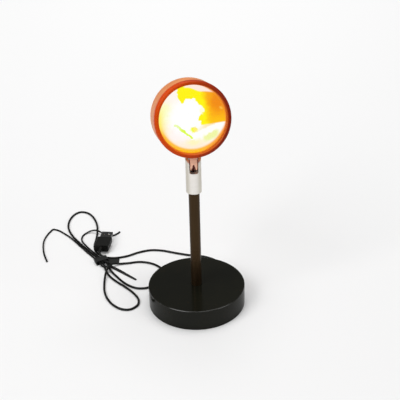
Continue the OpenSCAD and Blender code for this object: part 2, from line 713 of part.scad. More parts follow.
module board_screws() {
    color([0.62, 0.62, 0.63]) on_axis() for (side = [-1, 1])
        translate([side * board_screw_at_r, 0, 0]) difference() {
            union() {
                translate([0, 0, sink_plate_w - 1]) cylinder(h = board_top_w - sink_plate_w + 1 + eps, r = 1);
                translate([0, 0, board_top_w]) cylinder(h = 1.2, r = 1.9);
            }
            translate([0, 0, board_top_w + 1.2]) cube([4, 0.5, 0.8], center = true);
        }
}
module reflector_cup() {
    low = board_top_w;
    high = clip_w - seat_gap;
    color([0.95, 0.95, 0.93]) on_axis() difference() {
        rotate_extrude() polygon([
            [cup_in_r, low], [cup_out_r, high], [cup_out_r + 0.8, high], [cup_out_r + 0.8, high - cup_wall],
            [cup_out_r + 0.2, high - cup_wall], [cup_in_r + 1.8, low]
        ]);
        for (side = [-1, 1]) translate([side * board_screw_at_r, 0, low - 1])
            cylinder(h = high - low + 2, r = screw_access_r);
    }
}
module filter_clip() {
    color([0.35, 0.35, 0.36]) on_axis() difference() {
        translate([0, 0, clip_w]) ring(lens_r, clip_in_r, clip_t);
        translate([0, lens_r, clip_w + clip_t / 2]) cube([8, 8, clip_t * 2], center = true);
    }
}
module colour_filter() {
    color([1.0, 0.50, 0.05, 0.7]) on_axis() translate([0, 0, filter_w]) cylinder(h = filter_t, r = lens_r);
}
module lens_gasket() {
    color([0.12, 0.12, 0.12]) on_axis() translate([0, 0, gasket_w]) ring(lens_r, clip_in_r + 0.6, gasket_t);
}
module front_lens() {
    color([1.0, 0.85, 0.30, 0.6]) on_axis() {
        translate([0, 0, lens_w]) cylinder(h = lens_edge_t, r = lens_r);
        translate([0, 0, lens_w + lens_edge_t - eps]) intersection() {
            cylinder(h = lens_dome_h + 1, r = lens_dome_r);
            translate([0, 0, lens_dome_h - lens_sphere_r]) sphere(r = lens_sphere_r, $fn = 200);
        }
    }
}
module front_ring() {
    color([0.82, 0.22, 0.03]) on_axis() rotate_extrude() difference() {
        union() {
            translate([0, joint_w]) disc_outline(ring_r, face_forward - joint_w, ring_round);
            translate([skirt_in_r, skirt_w]) square([skirt_r - skirt_in_r, joint_w - skirt_w + 1]);
        }
        translate([-1, skirt_w - 1]) square([skirt_in_r + 1, lip_w - skirt_w + 1]);
        translate([-1, lip_w - 1]) square([opening_r + 1, ring_lip_t + 2]);
        translate([opening_r, face_forward]) rotate(45) square(ring_bevel * sqrt(2), center = true);
    }
}

// ---------- Cord, plug and ties ----------

module cord_lead() {
    color([0.05, 0.05, 0.05]) tube(CORD, 0, LEAD_END, 2, cord_r, 8);
}
module cord_loop_back() {
    color([0.05, 0.05, 0.05]) tube(CORD, LEAD_END, BACK_END, 1, cord_r, 6);
}
module cord_loop_front() {
    color([0.05, 0.05, 0.05]) tube(CORD, BACK_END, FRONT_END, 1, cord_r, 6);
}
module cord_return() {
    color([0.05, 0.05, 0.05]) tube(CORD, FRONT_END, RETURN_END, 2, cord_r, 8);
}
// The plug's frame: origin at the tip of its strain relief, y towards the shell
module on_plug() {
    translate([plug_x, plug_y, plug_z]) rotate([0, 0, -plug_lean]) children();
}
module plug_grip() {
    rib_n = 3;
    rib_pitch = 2.4;
    color([0.06, 0.06, 0.06]) on_plug() difference() {
        union() {
            rotate([-90, 0, 0]) cylinder(h = plug_relief_l + eps, r1 = relief_tip_r, r2 = plug_relief_r);
            translate([0, plug_relief_l, 0]) rotate([-90, 0, 0])
                linear_extrude(grip_l) round_box_2d(grip_w, grip_h, 2);
        }
        for (side = [-1, 1], k = [0 : rib_n - 1])
            translate([side * grip_w / 2, plug_relief_l + 4.5 + k * rib_pitch, 0])
                cube([0.8, 0.9, grip_h + 1], center = true);
        for (k = [0 : 1]) translate([0, 1.6 + k * 2, 0]) rotate([-90, 0, 0])
            ring(4, 1.75 + k * 0.35, 0.8);
    }
}
module plug_shell() {
    window = 2.6;
    color([0.35, 0.35, 0.37]) on_plug() translate([0, plug_relief_l + grip_l, 0]) difference() {
        rotate([-90, 0, 0]) linear_extrude(shell_l) difference() {
            round_box_2d(shell_w, shell_h, 0.6);
            square([shell_w - 2 * shell_t, shell_h - 2 * shell_t], center = true);
        }
        for (x = [-1, 1]) translate([x * 2.9, shell_l - 5.5, 0]) cube([window, window, shell_h + 2], center = true);
    }
}
module plug_tongue() {
    color([0.92, 0.92, 0.92]) on_plug()
        translate([-tongue_w / 2, plug_relief_l + grip_l, -shell_h / 2 + shell_t + fit_gap])
            cube([tongue_w, shell_l - 1.5, tongue_h]);
}
module plug_contacts() {
    contact_l = shell_l - 5;
    color([0.85, 0.68, 0.30]) on_plug() for (k = [0 : 3])
        translate([(k - 1.5) * 2.4 - 0.5, plug_relief_l + grip_l + 2.5,
            -shell_h / 2 + shell_t + fit_gap + tongue_h])
            cube([1, contact_l, 0.25]);
}
module cord_strap() {
    color([0.05, 0.05, 0.05]) {
        translate(strap_pos) rotate([0, 0, strap_turn]) rotate([90, 0, 0])
            translate([0, 0, -strap_w / 2]) linear_extrude(strap_w) difference() {
                round_box_2d(strap_in_w + 2 * strap_t, strap_in_h + 2 * strap_t, 1.6);
                round_box_2d(strap_in_w, strap_in_h, 0.8);
            }
        linear_extrude(strap_flat_t) difference() {
            union() {
                polygon(STRAP_TAIL);
                translate([tab_x[0], tab_y[0]]) square([tab_x[1] - tab_x[0], tab_y[1] - tab_y[0]]);
            }
            translate([tab_slot_x, (tab_y[0] + tab_y[1]) / 2]) square(tab_slot, center = true);
        }
    }
}
module tie_wire() {
    color([0.06, 0.06, 0.06]) tube(TIE, 0, len(TIE) - 1, 1, tie_d / 2, 8);
}

// ---------- Measured and printed ----------

CORD_LINE = curve(CORD, 0, RETURN_END, 3);
TIE_LINE = curve(TIE, 0, len(TIE) - 1, 3);
function line_length(c) = let (s = [for (i = [1 : len(c) - 1]) norm(c[i] - c[i - 1])]) s * [for (x = s) 1];
echo(cord_length = line_length(CORD_LINE), tie_length = line_length(TIE_LINE));
echo(cord_gap_to_itself = self_gap(CORD_LINE, 6, cord_d), tie_gap_to_itself = self_gap(TIE_LINE, 9, tie_d));
echo(cord_gap_to_tie = min([for (p = CORD_LINE, q = TIE_LINE) norm(p - q)]) - cord_r - tie_d / 2);

foot_pad();
base_plate();
base_weight();
base_cover();
base_screws();
pole_tube();
pole_washer();
pole_nut();
cord_relief();
inner_lead();
hinge_barrel();
swivel_screw();
pivot_screw();
pivot_washers();
pivot_sleeve();
hinge_wire();
head_bracket();
bracket_nut();
head_wire();
rear_housing();
housing_screws();
heat_sink();
led_board();
led_emitter();
board_screws();
reflector_cup();
filter_clip();
colour_filter();
lens_gasket();
front_lens();
front_ring();
cord_lead();
cord_loop_back();
cord_loop_front();
cord_return();
plug_grip();
plug_shell();
plug_tongue();
plug_contacts();
cord_strap();
tie_wire();
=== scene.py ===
# %% [markdown]
# # A sunset projection lamp
# The lamp is a weighted round base, a slim pole, a slotted hinge barrel and a drum-shaped head.
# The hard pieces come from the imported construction. This file gives them their finishes, lays the
# cord and the tie wire, makes the woven strap and sets up a small white studio.
# Lengths are in metres in Blender, and in millimetres where a name ends in _mm.

import json
from math import cos, pi, radians, sin

import bpy
import numpy as np
from mathutils import Matrix, Vector


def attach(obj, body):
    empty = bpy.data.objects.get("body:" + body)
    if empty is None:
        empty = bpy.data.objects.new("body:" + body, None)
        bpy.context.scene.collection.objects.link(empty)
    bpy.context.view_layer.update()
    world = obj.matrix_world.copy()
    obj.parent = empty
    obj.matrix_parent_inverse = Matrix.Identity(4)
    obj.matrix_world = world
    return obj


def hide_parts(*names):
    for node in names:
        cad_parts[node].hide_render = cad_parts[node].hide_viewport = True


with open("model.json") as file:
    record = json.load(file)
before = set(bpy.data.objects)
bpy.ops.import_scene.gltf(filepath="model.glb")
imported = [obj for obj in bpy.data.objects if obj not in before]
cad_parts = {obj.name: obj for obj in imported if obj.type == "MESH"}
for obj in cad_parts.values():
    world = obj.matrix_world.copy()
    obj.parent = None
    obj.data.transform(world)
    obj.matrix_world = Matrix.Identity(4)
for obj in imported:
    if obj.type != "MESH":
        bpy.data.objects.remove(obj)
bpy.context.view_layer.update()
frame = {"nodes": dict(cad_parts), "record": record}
nodes = frame["nodes"]
scene = bpy.context.scene
MM = 0.001

# %% [markdown]
# ## The camera
# The photograph shows both rims of the base as ellipses. Their widths, heights and distance give the
# camera's place and tilt for a given lens: it looks down by nearly 29 degrees and is rolled by 1.4
# degrees, so the pole leans a little. The lens is a 72 mm one on a 36 mm sensor. The camera could be
# turned with three angles, but as a matrix of its right, up and backward axes each step can be read.

# %% Camera
CAMERA_POS = Vector((0.0052, -0.6327, 0.4579))
LOOK_DOWN = radians(28.74)
ROLL = radians(1.36)
LENS_MM = 72
SENSOR_MM = 36
NEAREST_SEEN = 0.01


def camera_matrix(pos, look_down, roll):
    """Right, up and backward axes as columns: the level axes turned by the roll, then the position."""
    forward = Vector((0, cos(look_down), -sin(look_down)))
    level_up = Vector((0, sin(look_down), cos(look_down)))
    level_right = Vector((1, 0, 0))
    right = cos(roll) * level_right - sin(roll) * level_up
    up = sin(roll) * level_right + cos(roll) * level_up
    m = Matrix((right, up, -forward)).transposed().to_4x4()
    m.translation = pos
    return m


camera = bpy.data.objects.new("camera", bpy.data.cameras.new("camera"))
camera.data.lens = LENS_MM
camera.data.sensor_width = SENSOR_MM
camera.data.clip_start = NEAREST_SEEN
camera.matrix_world = camera_matrix(CAMERA_POS, LOOK_DOWN, ROLL)
scene.collection.objects.link(camera)
scene.camera = camera
print("camera height in mm:", round(CAMERA_POS.z / MM, 1))

# %% [markdown]
# ## The cord's route
# A thin power cord springs into loops on both sides of its strap. The route goes through a list of
# points on the floor, joined by a smooth curve that passes through each of them. Where it crosses
# itself, it climbs over in a long low hump, as a real cord does. The points are the construction's.
# A cord could be a mesh tube, but a curve with a round bevel keeps its centre line, and that is what
# its length and its bends are measured on.

# %% Route points in millimetres: x, y, height
EXIT_AZIMUTH = radians(60)
EXIT_Z_MM = 6.5


def from_exit(r_mm):
    """A point on the ray along which the cord leaves the base: r along the azimuth, at exit height."""
    return [r_mm * cos(EXIT_AZIMUTH), r_mm * sin(EXIT_AZIMUTH), EXIT_Z_MM]


LEAD = [
    from_exit(54), from_exit(58), [30, 53.6, 5.2], [30, 57.1, 3.2],
    [27.8, 60.2, 1.6], [23.8, 64.4, 1.2], [17.6, 70.6, 1.2], [11.8, 74.4, 1.2], [4.8, 77.3, 1.2],
    [-8.1, 80, 1.2], [-22.1, 84.7, 1.2], [-36, 89.9, 1.2], [-49, 91.3, 1.2],
    [-61, 87.6, 1.2], [-72, 81.3, 1.2], [-82, 78.1, 1.2], [-89.9, 77.9, 1.2],
]
LOOP_BACK = [
    [-95.5, 79.3, 1.2], [-100.9, 83.1, 1.2], [-105.4, 88.3, 1.2], [-108.8, 96, 1.2],
    [-110, 105.5, 1.2], [-109.5, 116.9, 1.2], [-109.6, 130.1, 1.2], [-111, 143.4, 1.2],
    [-114.4, 156.6, 1.2], [-119.8, 168.4, 1.2], [-126.7, 175.9, 1.2], [-134.3, 177.5, 1.2],
    [-140.4, 171.5, 1.2], [-144, 159.4, 1.2], [-143.8, 145.2, 1.2], [-139.9, 132, 1.2],
    [-134.2, 120.6, 1.2], [-126.9, 109.3, 1.2], [-119.6, 98.9, 1.2], [-112.7, 89.3, 1.2],
    [-106.1, 80.6, 1.8], [-100.7, 71.8, 2.5], [-96.4, 63.1, 3.5],
]
LOOP_FRONT = [
    [-93.7, 55.5, 2], [-90.7, 48, 1.2], [-85.6, 39.8, 1.2], [-78.7, 31.7, 1.2],
    [-70.2, 23, 1.2], [-62.2, 13, 1.2], [-56.8, 2.4, 1.2], [-57.3, -7.1, 1.2],
    [-64.3, -13.4, 1.2], [-73.3, -12, 1.2], [-81.8, -4.3, 1.2], [-87.8, 6.3, 1.2],
    [-91.2, 17.8, 1.2], [-92.5, 29.3, 1.2], [-92.7, 38.8, 2.6], [-92.1, 47.5, 4.2],
    [-90.4, 54.1, 5], [-88, 59.9, 4.8], [-84.5, 63.9, 3],
]
RETURN = [
    [-79, 65.8, 1.6], [-70, 67.3, 1.2], [-60, 69, 1.2], [-50.1, 67, 1.2],
    [-41.6, 61.8, 1.2], [-35.6, 54.2, 1.2], [-33.6, 45.1, 1.2], [-36.2, 35.5, 1.2],
    [-41.7, 26.9, 1.2], [-49.7, 21.7, 1.2], [-59.2, 21.5, 1.2], [-67.7, 26.4, 1.2],
    [-75, 34.1, 1.2], [-81.1, 42.7, 1.2], [-86.4, 50.7, 1.3], [-89.9, 57, 2.2],
    [-92.4, 62.7, 3.8], [-95.1, 71.8, 2.8], [-96.7, 75, 3], [-98.7, 76.9, 3.5],
    [-100.6, 78.5, 4.8], [-101.5, 80.2, 5.7], [-102, 82.8, 6.4],
]
TIE = [
    [-84.7, 131.1, 1], [-88.2, 126.4, 1], [-92.7, 123.2, 1], [-97.7, 123, 1],
    [-101.6, 125.3, 1.6], [-105.6, 128, 3.2], [-110.2, 130.5, 4], [-115.5, 132, 3],
    [-120.3, 130.7, 1.6], [-124, 126.6, 1], [-125.6, 120.7, 1], [-124.4, 113.1, 1],
    [-120.1, 105.1, 1], [-115.1, 97.3, 1], [-109.8, 90.1, 1], [-104.6, 82.9, 1],
    [-100.5, 76.8, 1.8], [-97.9, 71.3, 2.8], [-96.1, 67.6, 4.2], [-95.2, 65.4, 5.7],
    [-93.2, 63.4, 6.4], [-91.2, 62.1, 6], [-89.4, 61.5, 3.6], [-90.5, 61.1, 1], [-94.5, 61.7, 1],
    [-97.6, 62.3, 1.3], [-99.2, 64, 2.6], [-101, 67.3, 2.9], [-103.6, 71.3, 2.6],
    [-106.9, 76.8, 1.6], [-111.2, 83.3, 1], [-116.8, 90.8, 1], [-122.2, 98.6, 1],
    [-127.6, 106.2, 1], [-133, 114.1, 1], [-138.9, 122, 1], [-145.6, 129.5, 1],
    [-152.3, 136.2, 1], [-158.6, 139.8, 1], [-160.6, 139.4, 1], [-162.6, 134.8, 1],
    [-165.3, 126.3, 1], [-166.6, 115.8, 1], [-165.5, 103.5, 1], [-162.3, 89.2, 1], [-156.8, 74.1, 1],
]
print("route points:", [len(part) for part in (LEAD, LOOP_BACK, LOOP_FRONT, RETURN, TIE)])

# %% [markdown]
# ## From points to cables
# Straight lines between the points would kink. A chain of cubic curves passes through every point,
# and its slope there needs only the two neighbours, so the whole route is worked out as one array.

# %% Smooth curves through the points


def smooth_route(points_mm, steps):
    """A chain of cubics: each one joins two neighbouring points, and its slope at a point is half
    the way from the point before it to the point after it. Returned in metres."""
    p = np.array(points_mm, float)
    p = np.vstack([2 * p[0] - p[1], p, 2 * p[-1] - p[-2]])
    t = np.linspace(0, 1, steps, endpoint=False)[None, :, None]
    a, b, c, d = p[:-3, None], p[1:-2, None], p[2:-1, None], p[3:, None]
    square, cube = 2 * a - 5 * b + 4 * c - d, 3 * b - 3 * c + d - a
    body = 0.5 * (2 * b + (c - a) * t + square * t**2 + cube * t**3)
    return np.vstack([body.reshape(-1, 3), p[-2:-1]]) * MM


def run_length(line):
    """Sum of the distances between neighbouring points."""
    return float(np.linalg.norm(np.diff(line, axis=0), axis=1).sum())


CABLE_ROUNDNESS = 5
CORD_STEPS = 8
TIE_STEPS = 6


def round_cable(name, line, diameter):
    """One open curve with a round profile. The profile's depth is one metre and each point's radius
    is half the diameter, because the curve's bounding box grows by the points' radius."""
    data = bpy.data.curves.new(name, "CURVE")
    data.dimensions = "3D"
    data.bevel_depth = 1.0
    data.bevel_resolution = CABLE_ROUNDNESS
    data.use_fill_caps = True
    spline = data.splines.new("POLY")
    spline.points.add(len(line) - 1)
    spline.points.foreach_set("co", np.hstack([line, np.ones((len(line), 1))]).ravel())
    spline.points.foreach_set("radius", np.full(len(line), diameter / 2))
    spline.use_smooth = True
    obj = bpy.data.objects.new(name, data)
    scene.collection.objects.link(obj)
    return obj


CORD_D = 2.2 * MM
TIE_D = 1.8 * MM
cord_line = smooth_route(LEAD + LOOP_BACK + LOOP_FRONT + RETURN, CORD_STEPS)
tie_line = smooth_route(TIE, TIE_STEPS)
power_cord = round_cable("power_cord", cord_line, CORD_D)
bundle_tie = round_cable("bundle_tie", tie_line, TIE_D)
for label, line in (("cord", cord_line), ("tie wire", tie_line)):
    print(label, "in mm:", round(run_length(line) / MM, 1))

# %% [markdown]
# ## The strap round the bundle
# It is a reusable cable strap of woven tape: a band goes once round the cords, a short tab sits
# beside it, and the tapered tail sticks out towards the front. The band is a profile carried round a
# rounded rectangle. The tab and the tail are flat outlines with softened edges. All three keep the
# sizes of the construction's strap, but the tab is drawn without its narrow slot. The band could be
# pushed into shape by hand, but a profile on a path stays equally thick round the corners.

# %% Strap pieces
STRAP_T_MM = 0.9
STRAP_W_MM = 8
STRAP_IN_MM = (12, 3.6)
STRAP_CORNER_MM = 1.3
STRAP_EDGE_MM = 0.3
STRAP_TURN = radians(25)
FLAT_LOW_MM, FLAT_HIGH_MM, FLAT_SOFT_MM = 0.05, 1.2, 0.25
STRAP_POS_MM = (-99.3, 71.5, STRAP_T_MM + STRAP_IN_MM[1] / 2)
TAB_MM = [[-93.4, 67], [-93.4, 76.3], [-81, 76.3], [-81, 67]]
TAIL_MM = [
    [-90.6, 67], [-86, 62.3], [-78.1, 55.3], [-68.1, 45.4], [-60.5, 37.7], [-61.8, 36.5],
    [-69.9, 43.3], [-80.3, 52.8], [-88.2, 59.5], [-92.6, 64.2],
]


def mesh_object(name, verts, faces, smooth=True):
    """A mesh piece from an array of points and lists of corner numbers."""
    data = bpy.data.meshes.new(name)
    data.from_pydata(np.asarray(verts, float).tolist(), [], faces)
    data.polygons.foreach_set("use_smooth", [smooth] * len(data.polygons))
    data.update()
    obj = bpy.data.objects.new(name, data)
    scene.collection.objects.link(obj)
    return obj


def rounded_rectangle(w, h, r, per_corner=8, per_side=10):
    """Points round a rectangle with corner radius r, with the outward direction at each of them."""
    corners = []
    for k, (sx, sy) in enumerate([(1, 1), (-1, 1), (-1, -1), (1, -1)]):
        a = np.linspace(k * pi / 2, (k + 1) * pi / 2, per_corner)
        out = np.stack([np.cos(a), np.sin(a)], 1)
        corners.append((np.array([sx * (w / 2 - r), sy * (h / 2 - r)]) + r * out, out))
    points, normals = [], []
    for k in range(4):
        p, n = corners[k]
        q, m = corners[(k + 1) % 4]
        s = np.linspace(0, 1, per_side + 2)[1:-1, None]
        points += [p, p[-1] + s * (q[0] - p[-1])]
        normals += [n, n[-1] + s * (m[0] - n[-1])]
    return np.vstack(points), np.vstack(normals)


def grid_faces(rows, columns):
    """Quads of a closed-by-closed grid: each joins a point, the next in its row and the row after."""
    i, k = np.meshgrid(np.arange(rows), np.arange(columns), indexing="ij")
    a = i * columns + k
    b = i * columns + (k + 1) % columns
    c = (i + 1) % rows * columns + (k + 1) % columns
    d = (i + 1) % rows * columns + k
    return np.stack([a, b, c, d], -1).reshape(-1, 4).tolist()


def strap_band():
    """Tape profile (a thin box with rounded edges) carried round the bundle's rounded rectangle."""
    mid_w = STRAP_IN_MM[0] + STRAP_T_MM
    mid_h = STRAP_IN_MM[1] + STRAP_T_MM
    line, out = rounded_rectangle(mid_w, mid_h, STRAP_CORNER_MM)
    profile, _ = rounded_rectangle(STRAP_W_MM, STRAP_T_MM, STRAP_EDGE_MM, 5, 6)
    x = line[:, None, 0] + out[:, None, 0] * profile[None, :, 1]
    z = line[:, None, 1] + out[:, None, 1] * profile[None, :, 1]
    y = np.broadcast_to(profile[None, :, 0], x.shape)
    c, s = cos(STRAP_TURN), sin(STRAP_TURN)
    turned = np.stack([c * x - s * y, s * x + c * y, z], -1)
    points = (turned + np.array(STRAP_POS_MM)).reshape(-1, 3) * MM
    return mesh_object("strap_band", points, grid_faces(len(line), len(profile)))


def flat_tape(name, outline_mm):
    """A flat outline between two heights. Its rim steps in a little at the top and bottom."""
    p = np.array(outline_mm, float)
    along = np.roll(p, -1, 0) - np.roll(p, 1, 0)
    along /= np.linalg.norm(along, axis=1)[:, None]
    inward = np.stack([-along[:, 1], along[:, 0]], 1)
    area = np.sum(p[:, 0] * np.roll(p[:, 1], -1) - np.roll(p[:, 0], -1) * p[:, 1])
    inward *= np.sign(area)
    z0, z1, soften = FLAT_LOW_MM, FLAT_HIGH_MM, FLAT_SOFT_MM
    steps = [(z0, soften), (z0 + soften, 0), (z1 - soften, 0), (z1, soften)]
    rings = [np.column_stack([p + s * inward, np.full(len(p), z)]) for z, s in steps]
    n = len(p)
    top = (len(steps) - 1) * n
    faces = [[i * n + k, i * n + (k + 1) % n, (i + 1) * n + (k + 1) % n, (i + 1) * n + k]
             for i in range(len(steps) - 1) for k in range(n)]
    faces += [list(range(n))[::-1], list(range(top, top + n))]
    return mesh_object(name, np.vstack(rings) * MM, faces, smooth=False)


band = strap_band()
tail = flat_tape("strap_tail", TAIL_MM)
tab = flat_tape("strap_tab", TAB_MM)
strap_pieces = [band, tail, tab]
for piece in strap_pieces:
    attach(piece, "base")
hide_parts("cord_strap")
print("strap faces:", [len(p.data.polygons) for p in strap_pieces])

# %% [markdown]
# ## What the loose pieces are
# The construction has plain solids for the cord, the tie wire and the strap. Each new piece says
# which of them it stands for and which body it rides on.

for cable, stands_for in (
    (power_cord, ["cord_lead", "cord_loop_back", "cord_loop_front", "cord_return"]),
    (bundle_tie, ["tie_wire"]),
):
    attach(cable, "base")
    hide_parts(*stands_for)

# %% [markdown]
# ## A small language for materials
# Every finish below is a graph of nodes. Written out one by one the graphs would hide the idea, so
# this helper lets a formula be written as a formula: numbers and node outputs can be added and
# multiplied, and each operation becomes one node.

# %% Graph helper


class Wire:
    """One output of a node. Sums and products of wires make new Math nodes."""

    def __init__(self, graph, socket):
        self.graph, self.socket = graph, socket

    def __add__(self, other):
        return self.graph.math("ADD", self, other)

    def __sub__(self, other):
        return self.graph.math("SUBTRACT", self, other)

    def __mul__(self, other):
        return self.graph.math("MULTIPLY", self, other)

    def __truediv__(self, other):
        return self.graph.math("DIVIDE", self, other)

    __radd__ = __add__
    __rmul__ = __mul__


class Graph:
    """Builds nodes in one tree and joins them."""

    def __init__(self, tree):
        self.tree = tree
        tree.nodes.clear()

    def add(self, kind, inputs=(), **settings):
        """A node of that kind, its settings, and its inputs by name or number."""
        node = self.tree.nodes.new("ShaderNode" + kind)
        for key, value in settings.items():
            setattr(node, key, value)
        for key, value in dict(inputs).items():
            self.feed(node.inputs[key], value)
        return node

    def feed(self, socket, value):
        """Joins a wire to an input, or writes a constant on it."""
        if isinstance(value, Wire):
            self.tree.links.new(value.socket, socket)
        elif isinstance(value, tuple) and len(value) == 3 and socket.type == "RGBA":
            socket.default_value = (*value, 1)
        else:
            socket.default_value = value

    def out(self, node, key=0):
        """One output of a node, by name or number."""
        return Wire(self, node.outputs[key])

    def math(self, operation, a, b=0.0):
        """One sum, product or other operation on two values."""
        return self.out(self.add("Math", {0: a, 1: b}, operation=operation))

    def dot(self, vector, axis):
        """Length of a vector's part along an axis."""
        node = self.add("VectorMath", {0: vector, 1: tuple(axis)}, operation="DOT_PRODUCT")
        return self.out(node, "Value")

    def smooth(self, x, low, high, start=0.0, end=1.0):
        """Goes smoothly from start to end while x goes from low to high."""
        return self.out(self.add("MapRange", {0: x, 1: low, 2: high, 3: start, 4: end},
                                 interpolation_type="SMOOTHSTEP"))

    def mix(self, amount, a, b):
        """Colour a where amount is 0 and colour b where it is 1."""
        node = self.add("Mix", {0: amount, 6: a, 7: b}, data_type="RGBA")
        return self.out(node, 2)

    def noise(self, vector, scale, detail=3.0, roughness=0.5):
        """Cloudy noise between 0 and 1, with that many cells per unit of the vector."""
        return self.out(self.add("TexNoise", {"Vector": vector, "Scale": scale, "Detail": detail,
                                              "Roughness": roughness}))

    def stretched(self, vector, factors):
        """The coordinates times one factor for each axis."""
        return self.out(self.add("VectorMath", {0: vector, 1: factors}, operation="MULTIPLY"))

    def length(self, *parts):
        """Square root of the sum of the squares."""
        total = parts[0] * parts[0]
        for part in parts[1:]:
            total = total + part * part
        return self.math("SQRT", total)


def new_group(name, ins, outs):
    """An empty node group with these inputs and outputs, each a (name, type) pair."""
    tree = bpy.data.node_groups.new(name, "ShaderNodeTree")
    for label, kind in ins:
        tree.interface.new_socket(name=label, in_out="INPUT", socket_type="NodeSocket" + kind)
    for label, kind in outs:
        tree.interface.new_socket(name=label, in_out="OUTPUT", socket_type="NodeSocket" + kind)
    graph = Graph(tree)
    source = tree.nodes.new("NodeGroupInput")
    sink = tree.nodes.new("NodeGroupOutput")
    return graph, {label: Wire(graph, source.outputs[label]) for label, _ in ins}, sink


print("graph helper ready")

# %% [markdown]
# ## Effects that several finishes share
# Sprayed paint and moulded rubber both have a fine even grain, metal parts have fine turning lines,
# and every piece that is handled has faint patches where its gloss differs. Each effect is one node
# group, so that all pieces share it and it is changed in one place.

# %% Shared effects


def make_surface_grain():
    """Height of two layers of noise, coarse and fine, for bump; and a slow mask for gloss patches."""
    g, i, sink = new_group("surface_grain", [("Scale", "Float")],
                           [("Height", "Float"), ("Patches", "Float")])
    place = g.out(g.add("TexCoord"), "Object")
    coarse = g.noise(place, i["Scale"], 4, 0.6)
    fine = g.noise(place, i["Scale"] * 5.3, 2, 0.5)
    g.feed(sink.inputs["Height"], coarse * 0.6 + fine * 0.4)
    g.feed(sink.inputs["Patches"], g.smooth(g.noise(place, i["Scale"] * 0.03, 3), 0.35, 0.65))
    return g.tree


def make_turning_lines():
    """Noise squeezed along the lamp's upright axis, so it reads as fine rings from a lathe."""
    g, i, sink = new_group("turning_lines", [("Rings", "Float")],
                           [("Height", "Float"), ("Streaks", "Float")])
    place = g.out(g.add("TexCoord"), "Object")
    rings = g.noise(g.stretched(place, (40, 40, 1400)), i["Rings"], 3, 0.6)
    g.feed(sink.inputs["Height"], rings)
    streaks = g.noise(g.stretched(place, (60, 60, 700)), 1.0, 2)
    g.feed(sink.inputs["Streaks"], g.smooth(streaks, 0.3, 0.7))
    return g.tree


HINGE_YAW = radians(5)
HEAD_PITCH = radians(13.5)
HEAD_TURN = radians(6)
PIVOT = Vector((0, 0, 0.146))
HEAD_UP = 42.05 * MM
LENS_R = 29.95 * MM
head_axes = (Matrix.Rotation(HINGE_YAW, 3, "Z") @ Matrix.Rotation(-HEAD_PITCH, 3, "X")
             @ Matrix.Rotation(HEAD_TURN, 3, "Z"))
HEAD_RIGHT = head_axes @ Vector((1, 0, 0))
HEAD_TOP = head_axes @ Vector((0, 0, 1))


def make_head_disc():
    """Across, up and distance from the middle of the head's round face, in lens radii."""
    g, _, sink = new_group("head_disc", [], [("Across", "Float"), ("Up", "Float"), ("Radius", "Float")])
    place = g.out(g.add("TexCoord"), "Object")
    across = g.dot(place, HEAD_RIGHT) * (1 / LENS_R) - PIVOT.dot(HEAD_RIGHT) / LENS_R
    up = g.dot(place, HEAD_TOP) * (1 / LENS_R) - (PIVOT.dot(HEAD_TOP) + HEAD_UP) / LENS_R
    g.feed(sink.inputs["Across"], across)
    g.feed(sink.inputs["Up"], up)
    g.feed(sink.inputs["Radius"], g.length(across, up))
    return g.tree


GRAIN = make_surface_grain()
TURNED = make_turning_lines()
HEAD_DISC = make_head_disc()
print("shared effects:", [t.name for t in (GRAIN, TURNED, HEAD_DISC)])

# %% [markdown]
# ## Parts of a material
# Nearly every finish begins with the same three things: a Principled shader, a shared effect and a
# bump. They are written once. One even colour would look like raw plastic, so in the plain finish
# the colour and the gloss drift a little in slow patches.

# %% Parts of a material


def new_material(name):
    """A material with a Principled shader and its output."""
    material = bpy.data.materials.new(name)
    material.use_nodes = True
    g = Graph(material.node_tree)
    shader = g.add("BsdfPrincipled")
    end = g.add("OutputMaterial")
    g.tree.links.new(shader.outputs[0], end.inputs[0])
    return material, g, shader


def use_group(g, tree, **values):
    """A copy of a shared effect with its inputs set."""
    node = g.tree.nodes.new("ShaderNodeGroup")
    node.node_tree = tree
    for key, value in values.items():
        g.feed(node.inputs[key], value)
    return node


def bump(g, shader, height, strength, distance):
    """Tilts the surface as if it had that relief, in metres."""
    node = g.add("Bump", {"Strength": strength, "Distance": distance, "Height": height})
    g.feed(shader.inputs["Normal"], g.out(node))


def plain_finish(name, light, dark, rough, metallic=0.0, grain=900.0, relief=0.00004, specular=0.5):
    """A sprayed, moulded or plated finish: the colour and the gloss drift a little in slow patches,
    and the fine grain lifts the surface."""
    material, g, shader = new_material(name)
    effect = use_group(g, GRAIN, Scale=grain)
    patches = g.out(effect, "Patches")
    height = g.out(effect, "Height")
    g.feed(shader.inputs["Base Color"], g.mix(patches * 0.7 + height * 0.3, dark, light))
    g.feed(shader.inputs["Roughness"], patches * 0.08 + height * 0.05 + (rough - 0.065))
    shader.inputs["Metallic"].default_value = metallic
    shader.inputs["Specular IOR Level"].default_value = specular
    bump(g, shader, height, 0.35, relief)
    return material


print("material parts ready")

# %% [markdown]
# ## The base and the pole
# The base is black paint with enough gloss to show the pole's reflection, and its top catches the
# light along the front edge only. The pole has a satin coating of very dark brown, and mirrors the
# bright floor in its upper part and the black base near its foot. The barrel is turned aluminium.
# One gloss for the whole base would hide its rounded edge, so the top, the edge and the side each
# have their own, told apart by the distance from the middle and the height.

# %% Base, pole and barrel
BASE_R = 46 * MM
BASE_TOP = 20.5 * MM


